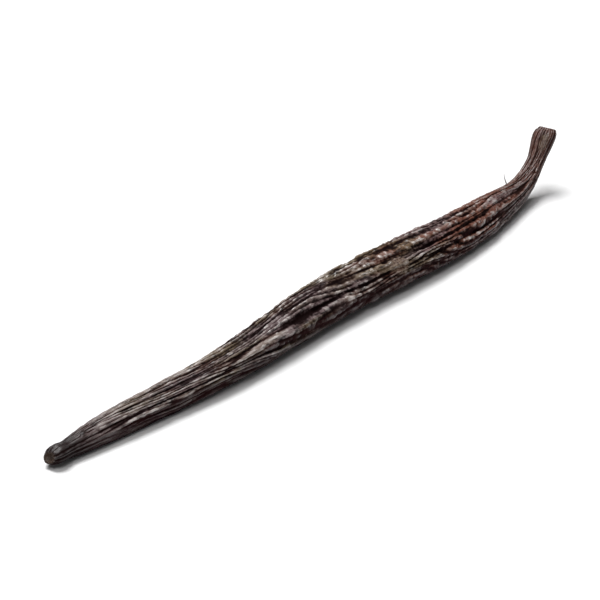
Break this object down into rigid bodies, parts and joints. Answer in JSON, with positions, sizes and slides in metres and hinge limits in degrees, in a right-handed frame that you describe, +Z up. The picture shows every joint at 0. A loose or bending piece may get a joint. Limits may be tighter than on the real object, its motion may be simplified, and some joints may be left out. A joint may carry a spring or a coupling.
{
  "type": "vanilla pod",
  "caption": "Long, slender cured seed pod with lengthwise folds, a small scarred knob at one end and an upturned stem hook at the other.",
  "frame": {"origin": "on the surface the pod lies on, under the middle of its bounding box", "axes": "+X along the pod towards the stem hook, +Z up from the surface, +Y across the pod"},
  "size_m": [0.168, 0.0122, 0.0136],
  "materials": {
    "cured_skin": "dark brown, wrinkled and slightly oily"
  },
  "bodies": {
    "root": {"pod": "cured_skin"}
  },
  "joints": []
}
